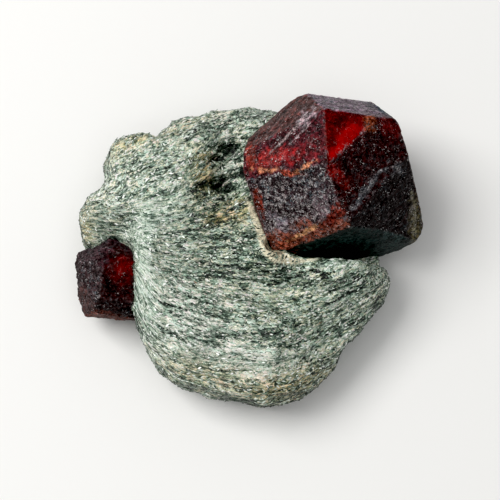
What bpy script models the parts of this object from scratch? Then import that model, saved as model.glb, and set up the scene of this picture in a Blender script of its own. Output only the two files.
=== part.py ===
"""Garnet in matrix: a large and a small almandine crystal held in one piece of mica schist.

Lengths are written in millimetres and turned into metres by MM where they meet Blender. +Z is up, the
origin is the middle of the specimen's footprint on the surface that it rests on, +X is east, +Y is north.
"""

import math

import bmesh
import bpy
from mathutils import Euler, Vector, noise

MM = 0.001
FOOTPRINT_SHIFT = (0.31, 0.40, 0.0)  # puts the middle of the specimen's footprint on the origin

# ---- the schist's driving dimensions, in millimetres -------------------------------------------------
GIRTH_HEIGHT = 8.0  # height of the widest outline above the base
UNDERSIDE_DEPTH = 9.6  # from the widest outline down to the underside, before the base is cut flat
TOP_HEIGHT = 18.2  # general height of the top
RIM_SQUARENESS = 0.62  # 1 is an ellipsoid, smaller is a slab with rounded rims
OUTLINE_CENTRE = (-2.0, -1.0)
# The widest outline from the east round by north, west and south.
OUTLINE = (
    (23.0, -4.9), (22.0, -1.5), (22.2, 3.0), (20.5, 10.0), (13.8, 18.0), (4.6, 24.1), (-2.6, 24.9),
    (-9.4, 23.4), (-14.8, 20.6), (-16.1, 19.1), (-18.4, 19.7), (-23.0, 18.6), (-24.7, 15.8),
    (-24.8, 12.6), (-25.7, 11.0), (-28.0, 8.9), (-28.6, 5.2), (-27.9, 1.2), (-24.9, -3.5), (-21.0, -8.1),
    (-18.7, -12.1), (-16.9, -17.1), (-12.3, -22.3), (-8.9, -23.4), (-1.8, -24.8), (2.9, -25.2),
    (6.9, -24.2), (10.8, -22.1), (13.7, -18.9), (14.9, -16.7), (17.6, -14.0), (19.9, -10.6), (21.8, -8.1),
)

# Swells and hollows of the top: centre, half length and half width, turn in degrees, and rise.
RELIEF = {
    "north_west_plateau": ((-15.0, 11.0), (13.0, 8.0), 25.0, 2.6),
    "north_crest": ((-4.0, 19.0), (11.0, 3.0), 14.0, 1.6),
    "hollow_beside_crystal": ((-3.4, 12.6), (7.0, 4.2), 80.0, -3.6),
    "upper_pit": ((-3.8, 15.4), (2.6, 1.4), 20.0, -1.5),
    "lower_pit": ((-4.6, 10.4), (3.2, 1.6), 22.0, -1.5),
    "collar_of_crystal": ((2.4, -2.2), (5.0, 2.4), -50.0, 2.0),
    "west_rim": ((-16.6, -5.5), (10.0, 2.8), 94.0, 2.4),
    "seat_of_small_crystal": ((-22.8, 1.8), (4.4, 2.8), 10.0, -5.5),
    "middle_valley": ((1.0, -7.5), (12.0, 2.6), -9.0, -2.2),
    "east_lobe": ((16.5, -5.4), (6.5, 3.6), 14.0, 2.4),
    "south_dome": ((-3.0, -15.5), (13.0, 6.0), -6.0, 1.8),
    "south_pit": ((-0.8, -20.4), (2.0, 1.1), -5.0, -0.9),
    "south_east_slope": ((15.0, -17.0), (8.0, 6.0), 45.0, -3.0),
}

# Foliation: the layers run at one bearing in the south and another in the north, and turn between them.
SOUTH_BEARING = math.radians(-9.0)
NORTH_BEARING = math.radians(26.0)
TURN_FROM, TURN_TO = -4.0, 7.0
LEDGE_SPACING = 3.1
LEDGE_HEIGHT = 0.42
LUMP_SIZE, LUMP_HEIGHT = 8.5, 0.9
KNOB_SIZE, KNOB_HEIGHT = 2.6, 0.42

SPHERE_LEVEL = 7  # icosphere subdivisions before the stone is thinned out
KEPT_SHARE = 0.085  # share of the triangles that the thinned stone keeps

# ---- the crystals ------------------------------------------------------------------------------------
CONTACT_GAP = 0.3  # between a crystal and the wall of its pocket
WORN_EDGE = 0.25  # width of the worn edges
MERGED = 0.1  # corners nearer than this are one corner
PLATE_FACE = 9.0  # a face wider than this carries a raised growth plate
PLATE_MARGINS = (0.9, 2.2, 1.3, 3.1, 1.0, 1.8, 2.6)  # from a face's sides in turn to its plate's sides
PLATE_SLOPE = 0.18  # width of the slope round a plate
PLATE_RISE = 0.14  # how far a growth plate stands above its face

# Each crystal face: bearing and tilt of its normal in degrees, then its distance from the centre.
LARGE_FACES = {
    "crown_west": (156, 38, 11.6),
    "window": (59, 22, 12.8),
    "crown_south": (-137, 37, 10.15),
    "crown_east": (-15, 34, 10.1),
    "shoulder_east": (-30, 55, 9.9),
    "north": (78, 78, 12.1),
    "north_west": (127, 69, 12.4),
    "shoulder_south": (-113, 45, 10.5),
    "south": (-79, 75, 9.8),
    "east": (19, 93, 12.1),
    "west": (198, 88, 13.5),
    "west_bevel": (182, 98, 13.7),
    "north_keel": (90, 106, 13.2),
    "north_east": (43, 90, 13.2),
    "north_west_keel": (136, 113, 13.5),
    "root_east": (-18, 118, 18.0),
    "root_low": (-24, 145, 18.0),
    "root_south": (-124, 157, 17.2),
    "root_north": (41, 139, 17.0),
    "root_west": (165, 145, 17.2),
    "south_keel": (-101, 106, 15.4),
}
LARGE_CENTRE = (13.5, 10.65, 20.0)
LARGE_LEAN = (13.0, -3.3)  # degrees about X and about Y

SMALL_FACES = {
    "crown": (-5, 14, 5.6),
    "crown_west": (176, 48, 5.0),
    "west": (183, 84, 4.8),
    "north_west": (127, 74, 5.6),
    "north": (80, 60, 6.4),
    "crown_north": (108, 38, 6.0),
    "south": (-96, 84, 6.0),
    "crown_south": (-84, 46, 6.1),
    "south_west": (203, 77, 4.75),
    "root_west": (-172, 131, 7.0),
    "root": (175, 166, 6.6),
    "root_south": (-70, 128, 6.8),
    "root_north": (96, 126, 6.6),
    "east": (8, 92, 8.2),
}
SMALL_CENTRE = (-23.6, -5.0, 10.6)
SMALL_LEAN = (8.7, 5.9)

SCHIST_GREEN = (0.36, 0.42, 0.37)
GARNET_RED = (0.16, 0.012, 0.012)


def finish_material(name, colour, roughness, metallic=0.0):
    """A Principled material of one colour."""
    material = bpy.data.materials.new(name)
    material.use_nodes = True
    shader = material.node_tree.nodes["Principled BSDF"]
    shader.inputs["Base Color"].default_value = (*colour, 1.0)
    shader.inputs["Roughness"].default_value = roughness
    shader.inputs["Metallic"].default_value = metallic
    return material


def mesh_object(name, solid, collection, material=None):
    """A mesh object from a bmesh, which is freed."""
    mesh = bpy.data.meshes.new(name)
    solid.to_mesh(mesh)
    solid.free()
    made = bpy.data.objects.new(name, mesh)
    collection.objects.link(made)
    if material:
        mesh.materials.append(material)
    return made


def smoothstep(low, high, value):
    """0 below low, 1 above high, and a smooth rise between them."""
    share = min(1.0, max(0.0, (value - low) / (high - low)))
    return share * share * (3.0 - 2.0 * share)


# ---- schist ------------------------------------------------------------------------------------------
def outline_knots():
    """The outline as (bearing, radius) from its centre, in order of bearing."""
    cx, cy = OUTLINE_CENTRE
    knots = [(math.atan2(y - cy, x - cx), math.hypot(x - cx, y - cy)) for x, y in OUTLINE]
    return sorted(knots)


def outline_radius(bearing, knots):
    """Radius of the outline at a bearing: a cubic through the knots either side of it."""
    count = len(knots)
    after = next((i for i, knot in enumerate(knots) if knot[0] > bearing), 0)

    def knot(index):
        turns, place = divmod(index, count)
        return knots[place][0] + turns * math.tau, knots[place][1]

    if after == 0 and bearing > knots[-1][0]:
        after = count
    (b0, r0), (b1, r1), (b2, r2), (b3, r3) = (knot(after + step) for step in (-2, -1, 0, 1))
    width = b2 - b1
    share = (bearing - b1) / width
    slope_1 = (r2 - r0) / (b2 - b0) * width
    slope_2 = (r3 - r1) / (b3 - b1) * width
    square, cube = share * share, share**3
    return (
        (2 * cube - 3 * square + 1) * r1
        + (cube - 2 * square + share) * slope_1
        + (3 * square - 2 * cube) * r2
        + (cube - square) * slope_2
    )


def relief(x, y):
    """Rise of the top at a point, from its swells and hollows."""
    rise = 0.0
    for (cx, cy), (half_length, half_width), turn, height in RELIEF.values():
        c, s = math.cos(math.radians(turn)), math.sin(math.radians(turn))
        along = ((x - cx) * c + (y - cy) * s) / half_length
        across = ((y - cy) * c - (x - cx) * s) / half_width
        rise += height * math.exp(-(along * along + across * across))
    return rise


def foliation_level(x, y, z):
    """Which layer of the schist a point lies in: equal values follow one layer."""
    south = y * math.cos(SOUTH_BEARING) - x * math.sin(SOUTH_BEARING)
    north = y * math.cos(NORTH_BEARING) - x * math.sin(NORTH_BEARING)
    share = smoothstep(TURN_FROM, TURN_TO, y)
    return south + (north - south) * share + 0.35 * z


def ledges(place):
    """Height of the foliation's ledges: a slow rise and a sharp drop across each layer."""
    wander = 1.6 * noise.noise(place / 9.0)
    phase = (foliation_level(*place) + wander) / LEDGE_SPACING
    saw = phase - math.floor(phase)
    step = min(saw / 0.8, (1.0 - saw) / 0.2)
    strength = 0.35 + 0.65 * smoothstep(-0.25, 0.35, noise.noise(place / 6.0 + Vector((31.0, 7.0, 3.0))))
    return LEDGE_HEIGHT * strength * (step - 0.5)


def stone_point(direction, knots):
    """Where a point of the unit sphere lies on the stone, in millimetres."""
    level = math.hypot(direction.x, direction.y)
    spread = level**RIM_SQUARENESS
    lift = math.copysign(abs(direction.z) ** RIM_SQUARENESS, direction.z)
    radius = outline_radius(math.atan2(direction.y, direction.x), knots) * spread
    bearing = math.atan2(direction.y, direction.x)
    x = OUTLINE_CENTRE[0] + radius * math.cos(bearing)
    y = OUTLINE_CENTRE[1] + radius * math.sin(bearing)
    reach = TOP_HEIGHT - GIRTH_HEIGHT + relief(x, y) if lift > 0.0 else UNDERSIDE_DEPTH
    return Vector((x, y, GIRTH_HEIGHT + lift * reach))


def roughened(place, normal):
    """A point of the smooth stone, moved along its normal by lumps, knobs and ledges."""
    lump = noise.fractal(place / LUMP_SIZE, 1.0, 2.0, 2) * LUMP_HEIGHT
    knob = noise.noise(place / KNOB_SIZE + Vector((5.0, 11.0, 2.0))) * KNOB_HEIGHT
    return place + normal * (lump + knob + ledges(place))


def schist_surface():
    """The stone before it is thinned: a sphere drawn out to the outline and heights, then roughened."""
    stone = bmesh.new()
    bmesh.ops.create_icosphere(stone, subdivisions=SPHERE_LEVEL, radius=1.0)
    knots = outline_knots()
    for vertex in stone.verts:
        vertex.co = stone_point(vertex.co.normalized(), knots)
    stone.normal_update()
    moved = [roughened(vertex.co, vertex.normal) for vertex in stone.verts]
    for vertex, place in zip(stone.verts, moved, strict=True):
        vertex.co = place * MM
    return stone


def thinned(rough):
    """A bmesh of an object after its modifiers; the object is removed."""
    graph = bpy.context.evaluated_depsgraph_get()
    thin = bmesh.new()
    thin.from_mesh(rough.evaluated_get(graph).data)
    bpy.data.objects.remove(rough)
    return thin


def cut_flat(solid, point, normal):
    """Cuts away what lies beyond a plane and closes the cut."""
    whole = [*solid.verts, *solid.edges, *solid.faces]
    cut = bmesh.ops.bisect_plane(
        solid, geom=whole, dist=1e-7, plane_co=point, plane_no=normal, clear_outer=True
    )
    rim = [item for item in cut["geom_cut"] if isinstance(item, bmesh.types.BMEdge)]
    if rim:
        bmesh.ops.contextual_create(solid, geom=rim)


def make_schist(collection, material):
    """The matrix: one rounded, layered piece of schist with a flat base."""
    rough = mesh_object("schist_rough", schist_surface(), collection)
    thinning = rough.modifiers.new("thinning", "DECIMATE")
    thinning.ratio = KEPT_SHARE
    stone = thinned(rough)
    cut_flat(stone, Vector((0, 0, 0)), Vector((0, 0, -1)))
    return mesh_object("schist_matrix", stone, collection, material)


# ---- garnets -----------------------------------------------------------------------------------------
def face_normal(bearing, tilt):
    """Unit vector at a bearing, tilted from +Z."""
    bearing, tilt = math.radians(bearing), math.radians(tilt)
    return Vector(
        (math.sin(tilt) * math.cos(bearing), math.sin(tilt) * math.sin(bearing), math.cos(tilt))
    )


def crystal_solid(faces, growth=0.0):
    """A block cut by each crystal face in turn, with growth added to every face's distance."""
    reach = 4.0 * max(distance for _, _, distance in faces.values())
    block = bmesh.new()
    bmesh.ops.create_cube(block, size=reach * MM)
    for bearing, tilt, distance in faces.values():
        normal = face_normal(bearing, tilt)
        cut_flat(block, normal * (distance + growth) * MM, normal)
    bmesh.ops.remove_doubles(block, verts=block.verts, dist=MERGED * MM)
    bmesh.ops.recalc_face_normals(block, faces=block.faces)
    return block


def add_growth_plate(crystal, face):
    """Raises a thin plate with sloping sides in one face."""
    normal = face.normal.copy()
    corners = [vertex.co.copy() for vertex in face.verts]
    sides = zip(corners, corners[1:] + corners[:1], strict=True)
    plate = [face]
    for index, (start, end) in enumerate(sides):
        if (end - start).length < PLATE_MARGINS[0] * MM:
            continue
        inward = normal.cross(end - start).normalized()
        point = start + inward * PLATE_MARGINS[index % len(PLATE_MARGINS)] * MM
        plate_edges = {edge for piece in plate for edge in piece.edges}
        plate_corners = {vertex for piece in plate for vertex in piece.verts}
        cut = bmesh.ops.bisect_plane(
            crystal, geom=[*plate, *plate_edges, *plate_corners], dist=1e-7, plane_co=point, plane_no=inward
        )
        pieces = [item for item in cut["geom"] if isinstance(item, bmesh.types.BMFace)]
        plate = [piece for piece in pieces if (piece.calc_center_median() - point).dot(inward) > 0.0]
    bmesh.ops.inset_region(
        crystal, faces=plate, thickness=PLATE_SLOPE * MM, depth=PLATE_RISE * MM, use_even_offset=True
    )


def make_garnet(name, faces, centre, lean, collection, material):
    """One crystal with worn edges and growth plates."""
    crystal = crystal_solid(faces)
    bmesh.ops.bevel(
        crystal,
        geom=[*crystal.edges, *crystal.verts],
        offset=WORN_EDGE * MM,
        offset_type="OFFSET",
        segments=1,
        profile=0.5,
        affect="EDGES",
        material=-1,
        clamp_overlap=True,
    )
    wide = [face for face in crystal.faces if face.calc_area() > (PLATE_FACE * MM) ** 2]
    for face in wide:
        add_growth_plate(crystal, face)
    bmesh.ops.remove_doubles(crystal, verts=crystal.verts, dist=MERGED * MM / 4)
    garnet = mesh_object(name, crystal, collection, material)
    place_crystal(garnet, centre, lean)
    return garnet


def place_crystal(made, centre, lean):
    """Puts a crystal or its cutter where the crystal grew."""
    made.location = Vector(centre) * MM
    made.rotation_euler = Euler((math.radians(lean[0]), math.radians(lean[1]), 0.0))


def make_pocket_cutter(name, faces, centre, lean, collection):
    """The crystal's shape, a little larger, that cuts its pocket in the schist."""
    cutter = mesh_object(name, crystal_solid(faces, CONTACT_GAP + PLATE_RISE), collection)
    place_crystal(cutter, centre, lean)
    cutter.hide_render = True
    cutter.display_type = "WIRE"
    return cutter


def cut_pocket(stone, cutter):
    """Opens a crystal's pocket in the schist."""
    pocket = stone.modifiers.new(cutter.name, "BOOLEAN")
    pocket.operation = "DIFFERENCE"
    pocket.solver = "EXACT"
    pocket.object = cutter


def main():
    """Builds the specimen."""
    for old in list(bpy.data.objects):
        bpy.data.objects.remove(old)
    parts = bpy.data.collections.new("garnet_in_matrix")
    cutters = bpy.data.collections.new("cutters")
    for collection in (parts, cutters):
        bpy.context.scene.collection.children.link(collection)

    schist = finish_material("mica_schist", SCHIST_GREEN, 0.5)
    garnet = finish_material("garnet", GARNET_RED, 0.25)
    stone = make_schist(parts, schist)
    crystals = {
        "large_garnet": (LARGE_FACES, LARGE_CENTRE, LARGE_LEAN),
        "small_garnet": (SMALL_FACES, SMALL_CENTRE, SMALL_LEAN),
    }
    for name, (faces, centre, lean) in crystals.items():
        make_garnet(name, faces, centre, lean, parts, garnet)
        cut_pocket(stone, make_pocket_cutter(f"{name}_pocket", faces, centre, lean, cutters))

    specimen = bpy.data.objects.new("specimen", None)
    parts.objects.link(specimen)
    specimen.location = Vector(FOOTPRINT_SHIFT) * MM
    for piece in [*parts.objects, *cutters.objects]:
        if piece is not specimen:
            piece.parent = specimen


if __name__ == "__main__":
    main()
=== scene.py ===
"""Dresses the garnet specimen: sparkling mica schist that holds a large and a small almandine crystal.

Lengths are in millimetres in the classes below, and MM turns them into metres where an object takes them.
"""

from __future__ import annotations

import logging
import math
import random
from dataclasses import dataclass
from enum import Enum
from typing import NamedTuple, Union

import bmesh
import bpy
import numpy as np
from mathutils import Euler, Matrix, Vector, noise
from mathutils.bvhtree import BVHTree

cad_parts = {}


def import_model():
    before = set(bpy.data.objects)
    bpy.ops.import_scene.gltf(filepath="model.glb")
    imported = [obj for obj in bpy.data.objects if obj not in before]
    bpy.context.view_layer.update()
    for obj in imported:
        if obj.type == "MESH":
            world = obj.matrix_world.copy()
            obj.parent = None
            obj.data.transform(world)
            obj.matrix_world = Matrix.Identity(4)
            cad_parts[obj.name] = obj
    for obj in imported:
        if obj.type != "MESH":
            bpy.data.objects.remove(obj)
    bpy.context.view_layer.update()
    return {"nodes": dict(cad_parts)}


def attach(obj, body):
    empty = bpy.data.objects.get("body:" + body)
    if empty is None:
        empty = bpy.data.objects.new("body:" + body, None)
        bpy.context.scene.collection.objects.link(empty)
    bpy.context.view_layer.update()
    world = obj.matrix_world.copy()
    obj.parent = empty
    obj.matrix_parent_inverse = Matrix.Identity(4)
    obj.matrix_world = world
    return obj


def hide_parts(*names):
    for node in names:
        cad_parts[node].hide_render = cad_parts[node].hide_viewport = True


MM = 0.001
Span = tuple[float, float]
Colour = tuple[float, float, float]
Stops = tuple[tuple[float, Colour], ...]
Array = np.ndarray
Mesh = bpy.types.Mesh
Object = bpy.types.Object
Node = bpy.types.Node
Material = bpy.types.Material
Socket = bpy.types.NodeSocket
Feed = Union[Socket, float, tuple]
BLACK: Colour = (0.0, 0.0, 0.0)
log = logging.getLogger("garnet_specimen")


class Slot(Enum):
    """The record's material slots."""

    SCHIST = "mica_schist"
    GARNET = "garnet"


# ---- small helpers -----------------------------------------------------------------------------------
def smoothstep(low: float, high: float, value: Array) -> Array:
    """0 below low, 1 above high, and a smooth rise between them."""
    share = np.clip((value - low) / (high - low), 0.0, 1.0)
    return share * share * (3.0 - 2.0 * share)


def rows_of(items: bpy.types.bpy_prop_collection, name: str) -> Array:
    """The vector that each of a mesh's items holds under a name, one row each.

    Args:
        items: The mesh's vertices or vertex normals.
        name: The name.

    Returns:
        The vectors.
    """
    flat = np.empty(len(items) * 3)
    items.foreach_get(name, flat)
    return flat.reshape(-1, 3)


def points_of(mesh: Mesh) -> Array:
    """The mesh's vertices in millimetres, one row each."""
    return rows_of(mesh.vertices, "co") / MM


def normals_of(mesh: Mesh) -> Array:
    """The mesh's vertex normals, one row each."""
    return rows_of(mesh.vertex_normals, "vector")


def set_points(mesh: Mesh, points: Array) -> None:
    """Moves the mesh's vertices to points given in millimetres."""
    mesh.vertices.foreach_set("co", (points * MM).ravel())
    mesh.update()


class NoiseField(NamedTuple):
    """Smooth noise from -1 to 1: the size of its features along each coordinate, and its seed."""

    size: Colour
    seed: float

    def at(self, points: Array) -> Array:
        """The noise's value at each point."""
        return np.array([noise.noise(Vector(row)) for row in points / np.array(self.size) + self.seed])


def store(mesh: Mesh, name: str, values: Array) -> None:
    """Keeps a value, a vector or a colour for each vertex as a named attribute.

    Args:
        mesh: The mesh.
        name: The attribute's name.
        values: One value or row for each vertex.
    """
    width = 1 if values.ndim == 1 else values.shape[1]
    kind, slot = {1: ("FLOAT", "value"), 3: ("FLOAT_VECTOR", "vector"), 4: ("FLOAT_COLOR", "color")}[width]
    layer = mesh.attributes.new(name, kind, "POINT")
    layer.data.foreach_set(slot, values.astype(np.float32).ravel())


def mesh_from(shape: bmesh.types.BMesh, name: str) -> Mesh:
    """The mesh that a bmesh holds; the bmesh is freed.

    Args:
        shape: The bmesh.
        name: The mesh's name.

    Returns:
        The mesh.
    """
    mesh = bpy.data.meshes.new(name)
    shape.to_mesh(mesh)
    shape.free()
    return mesh


def in_scene(name: str, data: bpy.types.ID) -> Object:
    """A new object in the scene that holds a mesh, a lamp or a camera.

    Args:
        name: The object's name.
        data: What it holds.

    Returns:
        The object.
    """
    made = bpy.data.objects.new(name, data)
    bpy.context.scene.collection.objects.link(made)
    return made


def merged_copy(node: Object) -> Mesh:
    """A closed copy of a CAD node's mesh, with its loose triangles joined.

    Args:
        node: The CAD node, which stays as it is.

    Returns:
        The copy.
    """
    joined = bmesh.new()
    joined.from_mesh(node.data)
    bmesh.ops.remove_doubles(joined, verts=joined.verts, dist=1e-7)
    return mesh_from(joined, f"{node.name}_joined")


def evenly_meshed(mesh: Mesh, grain: float, rounds: int) -> Mesh:
    """A closed mesh's shape as one even mesh.

    Args:
        mesh: The closed mesh.
        grain: Length of the mesh's edges, in millimetres.
        rounds: How many times the corners are eased.

    Returns:
        The new mesh, in the row frame.
    """
    rough = in_scene(f"{mesh.name}_even", mesh)
    remesh = rough.modifiers.new("even", "REMESH")
    remesh.mode = "VOXEL"
    remesh.voxel_size = grain * MM
    if rounds:
        ease = rough.modifiers.new("ease", "SMOOTH")
        ease.iterations = rounds
        ease.factor = 0.5
    graph = bpy.context.evaluated_depsgraph_get()
    even = bpy.data.meshes.new_from_object(rough.evaluated_get(graph))
    even.name = mesh.name
    bpy.data.objects.remove(rough)
    return even


def surface_tree(node: Object) -> BVHTree:
    """The node's surface, for finding the nearest place on it."""
    vertices = [vertex.co for vertex in node.data.vertices]
    return BVHTree.FromPolygons(vertices, [tuple(face.vertices) for face in node.data.polygons])


# ---- shader building ---------------------------------------------------------------------------------
class Noise(NamedTuple):
    """A noise texture's settings; its coordinates are multiplied by stretch first, if that is given."""

    scale: float
    detail: float = 2.0
    rough: float = 0.5
    distortion: float = 0.0
    stretch: Colour | None = None


class Graph:
    """A node tree that is built call by call."""

    def __init__(self, tree: bpy.types.NodeTree) -> None:
        """Starts from a tree, which may already hold nodes."""
        self.tree = tree

    def add(self, kind: str, settings: dict | None = None, **inputs: Feed) -> Node:
        """Adds a node.

        Args:
            kind: The node's type, without its ShaderNode prefix.
            settings: Properties of the node.
            **inputs: Values or sockets for its inputs, by input name with spaces as underscores.

        Returns:
            The node.
        """
        node = self.tree.nodes.new(f"ShaderNode{kind}")
        for name, value in (settings or {}).items():
            setattr(node, name, value)
        for name, value in inputs.items():
            self.feed(node.inputs[name.replace("_", " ")], value)
        return node

    def feed(self, socket: Socket, value: Feed) -> None:
        """Links a socket to an input, or sets the input's value.

        Args:
            socket: The input.
            value: The socket or value that it gets.
        """
        if isinstance(value, Socket):
            self.tree.links.new(value, socket)
        elif isinstance(value, tuple) and len(value) == 3 and socket.type == "RGBA":
            socket.default_value = (*value, 1.0)
        else:
            socket.default_value = value

    def math(self, operation: str, first: Feed, second: Feed = 0.5, clamp: bool = False) -> Socket:
        """A Math node's output.

        Args:
            operation: The node's operation.
            first: Its first input.
            second: Its second input.
            clamp: Whether the result stays between 0 and 1.

        Returns:
            The result.
        """
        node = self.add("Math", {"operation": operation, "use_clamp": clamp})
        self.feed(node.inputs[0], first)
        self.feed(node.inputs[1], second)
        return node.outputs[0]

    def plus(self, first: Feed, second: Feed, clamp: bool = False) -> Socket:
        """The sum of two values."""
        return self.math("ADD", first, second, clamp)

    def minus(self, first: Feed, second: Feed, clamp: bool = False) -> Socket:
        """The difference of two values."""
        return self.math("SUBTRACT", first, second, clamp)

    def times(self, first: Feed, second: Feed, clamp: bool = False) -> Socket:
        """The product of two values."""
        return self.math("MULTIPLY", first, second, clamp)

    def vector(self, operation: str, first: Feed, second: Feed = BLACK) -> Socket:
        """A Vector Math node's vector output.

        Args:
            operation: The node's operation.
            first: Its first input.
            second: Its second input.

        Returns:
            The vector.
        """
        node = self.add("VectorMath", {"operation": operation})
        self.feed(node.inputs[0], first)
        self.feed(node.inputs[1], second)
        return node.outputs["Vector"]

    def mix(self, share: Feed, first: Feed, second: Feed, blend: str = "MIX") -> Socket:
        """A colour mix: first at 0, second at 1.

        Args:
            share: How much of the second colour shows.
            first: The first colour.
            second: The second colour.
            blend: The mix's blend mode.

        Returns:
            The colour.
        """
        node = self.add("Mix", {"data_type": "RGBA", "blend_type": blend})
        self.feed(node.inputs["Factor"], share)
        self.feed(node.inputs[6], first)
        self.feed(node.inputs[7], second)
        return node.outputs[2]

    def tinted(self, colour: Feed, tint: Feed) -> Socket:
        """A colour multiplied by another."""
        return self.mix(1.0, colour, tint, "MULTIPLY")

    def step(self, value: Feed, low: float, high: float) -> Socket:
        """A smooth rise from 0 at low to 1 at high, or a fall where low is the larger.

        Args:
            value: What is measured.
            low: Where the result is 0.
            high: Where the result is 1.

        Returns:
            The result.
        """
        node = self.add("MapRange", {"interpolation_type": "SMOOTHSTEP"}, Value=value)
        falling = low > high
        self.feed(node.inputs["From Min"], min(low, high))
        self.feed(node.inputs["From Max"], max(low, high))
        self.feed(node.inputs["To Min"], float(falling))
        self.feed(node.inputs["To Max"], float(not falling))
        return node.outputs["Result"]

    def ramp(self, value: Feed, stops: Stops) -> Socket:
        """A colour ramp's colour output.

        Args:
            value: Where on the ramp to read, from 0 to 1.
            stops: The ramp's places and colours.

        Returns:
            The colour.
        """
        node = self.add("ValToRGB")
        elements = node.color_ramp.elements
        while len(elements) < len(stops):
            elements.new(0.5)
        for element, (place, colour) in zip(elements, stops, strict=True):
            element.position = place
            element.color = (*colour, 1.0)
        self.feed(node.inputs[0], value)
        return node.outputs[0]

    def greys(self, value: Feed, *stops: Span) -> Socket:
        """A ramp of greys, given as places and how light each is."""
        return self.ramp(value, tuple((place, (light,) * 3) for place, light in stops))

    def noise(self, place: Feed, look: Noise, output: str = "Fac") -> Socket:
        """A Noise Texture's output.

        Args:
            place: Its coordinates.
            look: Its settings.
            output: Which output is wanted.

        Returns:
            The output.
        """
        if look.stretch:
            place = self.vector("MULTIPLY", place, look.stretch)
        node = self.add("TexNoise", Vector=place, Scale=look.scale, Detail=look.detail, Roughness=look.rough)
        self.feed(node.inputs["Distortion"], look.distortion)
        return node.outputs[output]

    def attribute(self, name: str, output: str = "Fac") -> Socket:
        """What the mesh stores under a name, as Fac, Color or Vector."""
        return self.add("Attribute", {"attribute_name": name}).outputs[output]

    def parts(self, colour: Socket) -> list[Socket]:
        """A colour's red, green and blue.

        Args:
            colour: The colour.

        Returns:
            The three sockets.
        """
        node = self.add("SeparateColor")
        self.feed(node.inputs[0], colour)
        return node.outputs[:3]

    def group(self, tree: bpy.types.NodeTree, **inputs: Feed) -> Node:
        """Places a node group.

        Args:
            tree: The group.
            **inputs: Values or sockets for its inputs, by name.

        Returns:
            The node.
        """
        node = self.add("Group", {"node_tree": tree})
        for name, value in inputs.items():
            self.feed(node.inputs[name], value)
        return node


def new_group(name: str, inputs: dict[str, tuple[str, Feed | None]], outputs: dict[str, str]) -> tuple:
    """A shader node group with its sockets.

    Args:
        name: The group's name.
        inputs: Each input's socket type and default value.
        outputs: Each output's socket type.

    Returns:
        The group's tree, a Graph on it, its input node and its output node.
    """
    tree = bpy.data.node_groups.new(name, "ShaderNodeTree")
    for label, (kind, default) in inputs.items():
        socket = tree.interface.new_socket(label, in_out="INPUT", socket_type=f"NodeSocket{kind}")
        if default is not None:
            socket.default_value = default
    for label, kind in outputs.items():
        tree.interface.new_socket(label, in_out="OUTPUT", socket_type=f"NodeSocket{kind}")
    return tree, Graph(tree), tree.nodes.new("NodeGroupInput"), tree.nodes.new("NodeGroupOutput")


def flake_group() -> bpy.types.NodeTree:
    """Close-set flakes: each has its own random values and its own tilt.

    Returns:
        A group that takes a place, a size and a tilt, and gives random values, a shade, a normal and the
        gap between flakes.
    """
    tree, graph, given, out = new_group(
        "mineral_flakes",
        {"Place": ("Vector", None), "Size": ("Float", 1.0), "Tilt": ("Float", 0.5)},
        {"Random": "Color", "Shade": "Float", "Normal": "Vector", "Gap": "Float"},
    )
    place, size, tilt = (given.outputs[name] for name in ("Place", "Size", "Tilt"))
    sizes = graph.add("CombineXYZ", X=size, Y=size, Z=size)
    scaled = graph.vector("DIVIDE", place, sizes.outputs[0])
    cells = graph.add("TexVoronoi", {"feature": "F1"}, Vector=scaled, Scale=1.0, Randomness=1.0)
    edges = graph.add("TexVoronoi", {"feature": "DISTANCE_TO_EDGE"}, Vector=scaled, Scale=1.0)
    colour = cells.outputs["Color"]
    centred = graph.vector("SUBTRACT", colour, (0.5, 0.5, 0.5))
    leaning = graph.add("VectorMath", {"operation": "SCALE"}, Vector=centred, Scale=tilt)
    surface = graph.add("NewGeometry").outputs["Normal"]
    turned = graph.vector("ADD", surface, leaning.outputs[0])
    graph.feed(out.inputs["Random"], colour)
    graph.feed(out.inputs["Shade"], graph.parts(colour)[0])
    graph.feed(out.inputs["Normal"], graph.vector("NORMALIZE", turned))
    graph.feed(out.inputs["Gap"], graph.step(edges.outputs["Distance"], 0.09, 0.0))
    return tree


class Effects:
    """The node groups that more than one material places, each built once."""

    def __init__(self) -> None:
        """Builds the groups."""
        self.flakes = flake_group()


def new_material(name: str) -> tuple[Material, Graph, Node]:
    """A material with its graph and its Principled node.

    Args:
        name: The material's name.

    Returns:
        The material, its graph and the node.
    """
    material = bpy.data.materials.new(name)
    material.use_nodes = True
    return material, Graph(material.node_tree), material.node_tree.nodes["Principled BSDF"]


# ---- the schist's finishes ---------------------------------------------------------------------------
class FlakeLayer(NamedTuple):
    """Flakes of one size: how long and wide they are, how far their rows bend, and how far they tilt."""

    length: float
    width: float
    bend: float
    tilt: float


class Share(NamedTuple):
    """How much a pattern or form lightens the schist, and how that changes on the southern lobe."""

    amount: float
    on_lobe: float = 0.0

    def on(self, graph: Graph, lobe: Socket) -> Feed:
        """The share as a value or a socket."""
        return graph.plus(self.amount, graph.times(lobe, self.on_lobe)) if self.on_lobe else self.amount


PATTERN_SHARES = {
    "flakes": Share(0.38, -0.24),
    "fibres": Share(0.54),
    # painted glints: the lightest fibres are lifted further in the tone
    "sparkle": Share(0.30),
    "streaks": Share(0.26, -0.16),
    "threads": Share(0.08, 0.26),
    "clouds": Share(0.26, -0.12),
    "bands": Share(0.18),
}
FORM_SHARES = {
    # relief lightens the raised places and darkens the low ones: painted shade in the low places of the
    # relief
    "relief": Share(0.28, -0.10),
    "pale": Share(0.14),
    "dim": Share(-0.10),
    "streaked": Share(-0.42),
    "veined": Share(0.4),
    "pocket": Share(-0.6),
    # shade darkens the steep sides and the lines under the ledges: painted shade
    "shade": Share(-0.28),
}


@dataclass(frozen=True)
class SchistPatterns:
    """The foliation's coordinates and the patterns that the schist's tone, colour and grain share."""

    flow: Socket
    flakes: Node
    fibres: Node
    streaks: Socket
    threads: Socket
    clouds: Socket
    bands: Socket


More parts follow.
